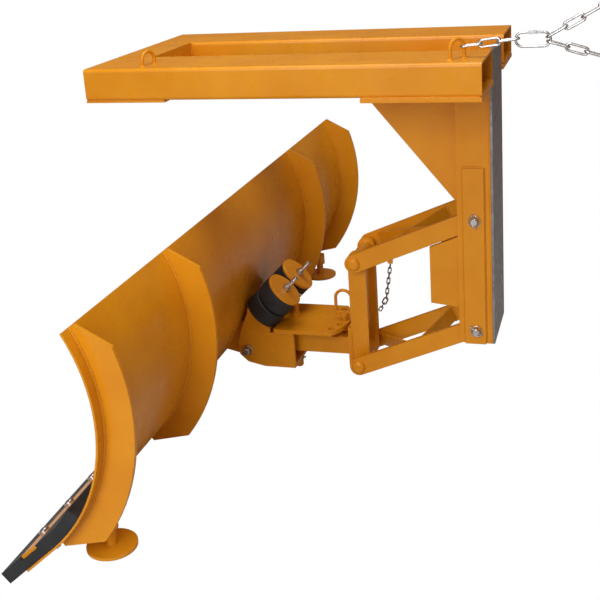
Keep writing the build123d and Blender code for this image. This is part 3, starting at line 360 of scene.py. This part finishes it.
armShape = {"pivot": 52 * mm, "heights": {"upper": -402 * mm, "lower": -707 * mm},
            "droop": 22.5, "inner": 86 * mm, "tube": 18 * mm, "braceHalf": 19 * mm,
            "braces": {"upper": ((110, 255), (320, 105)), "lower": ((100, 165), (335, 200))}}
droop = radians(armShape["droop"])
armAlong = Vector((cos(droop), 0, -sin(droop)))
armUp = Vector((sin(droop), 0, cos(droop)))
for level, height in armShape["heights"].items():
    body = level + "_arms"
    pivot = Vector((armShape["pivot"], 0, height))
    for side in (1, -1):
        across = Vector((0, side * armShape["inner"], 0))
        bead(body, ringOf(pivot + across, (0, 1, 0), armShape["tube"]), "small", True)
        for far, near in armShape["braces"][level]:
            reach = (near if side > 0 else far) * mm
            for edge in (-4.6 * mm, 4.6 * mm):
                foot = pivot + across + armAlong * (reach + edge)
                bead(body, stretch(foot - armUp * armShape["braceHalf"],
                                   foot + armUp * armShape["braceHalf"]), "small")

postShape = {"x": 384.6 * mm, "bearings": (-539.8 * mm, -844.8 * mm)}
postLow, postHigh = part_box("upright_post_left")
armLow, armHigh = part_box("swivel_arm")
for side in (1, -1):
    for y in (postLow[1], postHigh[1]):
        bead("upright", stretch((postHigh[0], side * y, armLow[2] + 18 * mm),
                                (postHigh[0], side * y, armHigh[2])), "small")
        for z in postShape["bearings"]:
            bead("upright", ringOf((postShape["x"], side * y, z), (0, 1, 0), armShape["tube"]), "small", True)
swivelFace = armLow[0] + 10 * mm
swivelShape = {"half": 45 * mm, "top": -781 * mm, "bottom": -831 * mm}
for side in (1, -1):
    y = side * swivelShape["half"]
    bead("upright", stretch((swivelFace, y, swivelShape["bottom"]), (swivelFace, y, swivelShape["top"])))
for z in (swivelShape["bottom"], swivelShape["top"]):
    bead("upright", stretch((swivelFace, -swivelShape["half"], z), (swivelFace, swivelShape["half"], z)))

sectorLow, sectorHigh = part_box("sector_plate")
sideLow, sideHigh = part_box("carrier_side_left")
seatLow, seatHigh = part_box("buffer_seat")
for side in (1, -1):
    for y in (sideLow[1], sideHigh[1]):
        bead("carrier", stretch((sideLow[0] + 2 * mm, side * y, sectorLow[2]),
                                (sectorHigh[0], side * y, sectorLow[2])), "small")
    bead("carrier", stretch((seatLow[0] + 2 * mm, side * sideLow[1], sectorHigh[2] + 2 * mm),
                            (seatHigh[0] - 9 * mm, side * sideLow[1], seatHigh[2] - 2 * mm)), "small")
    bottomLow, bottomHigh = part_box("carrier_bottom_plate")
    bead("carrier", stretch((bottomLow[0] + 2 * mm, side * sideLow[1], bottomHigh[2]),
                            (bottomHigh[0], side * sideLow[1], bottomHigh[2])), "small")

skidShape = {"x": 773 * mm, "y": 874 * mm, "sleeve": 19 * mm, "top": -865 * mm, "bottom": -882 * mm}
for side in (1, -1):
    for y in (-5.4 * mm, 5.4 * mm):
        start = skidShape["x"] + skidShape["sleeve"] - 1 * mm
        bead("blade", stretch((start, side * skidShape["y"] + y, skidShape["bottom"]),
                              (start, side * skidShape["y"] + y, skidShape["top"])), "small")
        bead("blade", bladeArc(side * skidShape["y"] + y, 217.5, 228.0), "small")
for body, mesh in beads.items():
    finishPiece("welds_" + body, mesh, body, "yellow_paint")
print("weld beads made")

# ---- buffer rods' threads ----
rodShape = {"from": 121.5 * mm, "to": 157.0 * mm, "rubber": 100 * mm, "radius": 6 * mm, "pitch": 1.75 * mm}
rodAxis = Vector((-sin(pi / 4), 0, cos(pi / 4)))
threads = bmesh.new()
for node in ("rubber_buffer_left", "rubber_buffer_right"):
    low, high = (Vector(corner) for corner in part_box(node))
    foot = (low + high) / 2 - rodAxis * rodShape["rubber"] / 2
    profile = [(rodShape["radius"] * 0.9, rodShape["from"])]
    height = rodShape["from"]
    while height < rodShape["to"]:
        profile += [(rodShape["radius"] + 0.15 * mm, height + rodShape["pitch"] * 0.25),
                    (rodShape["radius"] + 0.55 * mm, height + rodShape["pitch"] * 0.5),
                    (rodShape["radius"] + 0.15 * mm, height + rodShape["pitch"] * 0.75)]
        height += rodShape["pitch"]
    profile.append((rodShape["radius"] * 0.9, height))
    lathe(threads, foot, rodAxis, profile, 28)
finishPiece("buffer_rod_threads", threads, "buffer_rods", "zinc")

# ---- domed heads of the scraper bolts ----
boltShape = {"count": 17, "pitch": 115 * mm, "reach": 65 * mm, "stand": 36 * mm, "radius": 13 * mm,
             "dome": 6 * mm}
footTurn = radians(41.2)
footAlong = Vector((cos(footTurn), 0, -sin(footTurn)))
footOut = Vector((sin(footTurn), 0, cos(footTurn)))
footStart = Vector((1111 * mm, 0, -572 * mm)) - footOut * 408 * mm
heads = bmesh.new()
for i in range(boltShape["count"]):
    y = (i - (boltShape["count"] - 1) / 2) * boltShape["pitch"]
    spot = footStart + footAlong * boltShape["reach"] + Vector((0, y, 0))
    profile = [(boltShape["radius"] * cos(radians(a)),
                boltShape["stand"] - 1 * mm + boltShape["dome"] * sin(radians(a))) for a in range(0, 90, 12)]
    lathe(heads, spot, footOut, profile, 28)
finishPiece("scraper_bolt_domes", heads, "blade", "zinc")
print("fasteners detailed")

# ---- stage ----
stageLook = {"floorDrop": 2 * mm, "size": 30.0, "colour": "C4C4C4", "seen": 1.0}
whiteStage = bpy.data.materials.new("paleStage")
whiteStage.use_nodes = True
tree = whiteStage.node_tree
tree.nodes.clear()
seenBy = addNode(tree, "ShaderNodeLightPath")
matt = addNode(tree, "ShaderNodeBsdfDiffuse", {}, {"Color": linear(stageLook["colour"])})
bright = addNode(tree, "ShaderNodeEmission", {}, {"Color": (1, 1, 1, 1), "Strength": stageLook["seen"]})
chosen = addNode(tree, "ShaderNodeMixShader", {}, {0: seenBy.outputs["Is Camera Ray"], 1: matt.outputs[0],
                                                   2: bright.outputs[0]})
addNode(tree, "ShaderNodeOutputMaterial", {}, {"Surface": chosen.outputs[0]})
floorHeight = cadBounds[0][2] - stageLook["floorDrop"]
floorData = bpy.data.meshes.new("floor")
half = stageLook["size"] / 2
floorData.from_pydata([(-half, -half, floorHeight), (half, -half, floorHeight), (half, half, floorHeight),
                       (-half, half, floorHeight)], [], [(0, 1, 2, 3)])
floorData.materials.append(whiteStage)
floor = bpy.data.objects.new("floor", floorData)
bpy.context.scene.collection.objects.link(floor)

# ---- light ----
lightLook = {"ambient": 0.24, "tint": "FFCFAE", "top": 112.0, "front": 104.0, "side": 3.0}
world = bpy.data.worlds.new("studio")
bpy.context.scene.world = world
world.use_nodes = True
tree = world.node_tree
tree.nodes.clear()
seenBy = addNode(tree, "ShaderNodeLightPath")
strength = span(tree, seenBy.outputs["Is Camera Ray"], 0.0, 1.0, lightLook["ambient"], 1.0)
tint = mixColour(tree, seenBy.outputs["Is Camera Ray"], linear(lightLook["tint"]), (1, 1, 1, 1))
sky = addNode(tree, "ShaderNodeBackground", {}, {"Color": tint, "Strength": strength})
addNode(tree, "ShaderNodeOutputWorld", {}, {"Surface": sky.outputs[0]})


def softLight(name, place, target, size, power):
    data = bpy.data.lights.new(name, "AREA")
    data.shape = "SQUARE"
    data.size = size
    data.energy = power
    made = bpy.data.objects.new(name, data)
    bpy.context.scene.collection.objects.link(made)
    way = Vector(target) - Vector(place)
    made.matrix_world = Matrix.Translation(place) @ way.to_track_quat("-Z", "Y").to_matrix().to_4x4()


softLight("topLight", (0.4, 0.6, 3.4), (0.45, 0, -0.4), 2.6, lightLook["top"])
softLight("frontLight", (0.9, 4.2, 1.2), (0.4, 0, -0.4), 2.4, lightLook["front"])
softLight("sideLight", (-3.2, 1.2, 0.6), (0.5, 0, -0.5), 1.8, lightLook["side"])

# ---- camera ----
cameraLook = {"place": (-303.4, 2681.1, 418.3), "yaw": 17.44, "down": 16.74, "roll": -3.84, "lens": 62.67,
              "shift": (-0.0103, -0.1454)}
yaw, down, roll = (radians(cameraLook[k]) for k in ("yaw", "down", "roll"))
forward = Vector((sin(yaw) * cos(down), -cos(yaw) * cos(down), -sin(down)))
level = forward.cross(Vector((0, 0, 1))).normalized()
rise = level.cross(forward)
right = level * cos(roll) + rise * sin(roll)
upward = rise * cos(roll) - level * sin(roll)
cameraData = bpy.data.cameras.new("photoView")
cameraData.lens = cameraLook["lens"]
cameraData.sensor_width = 36
cameraData.shift_x, cameraData.shift_y = cameraLook["shift"]
cameraData.clip_start = 0.01
cameraObject = bpy.data.objects.new("photoView", cameraData)
bpy.context.scene.collection.objects.link(cameraObject)
turn = Matrix((right, upward, -forward)).transposed().to_4x4()
cameraObject.matrix_world = Matrix.Translation([v * mm for v in cameraLook["place"]]) @ turn
bpy.context.scene.camera = cameraObject
bpy.context.scene.view_settings.view_transform = "Standard"
print("stage, lights and camera set")
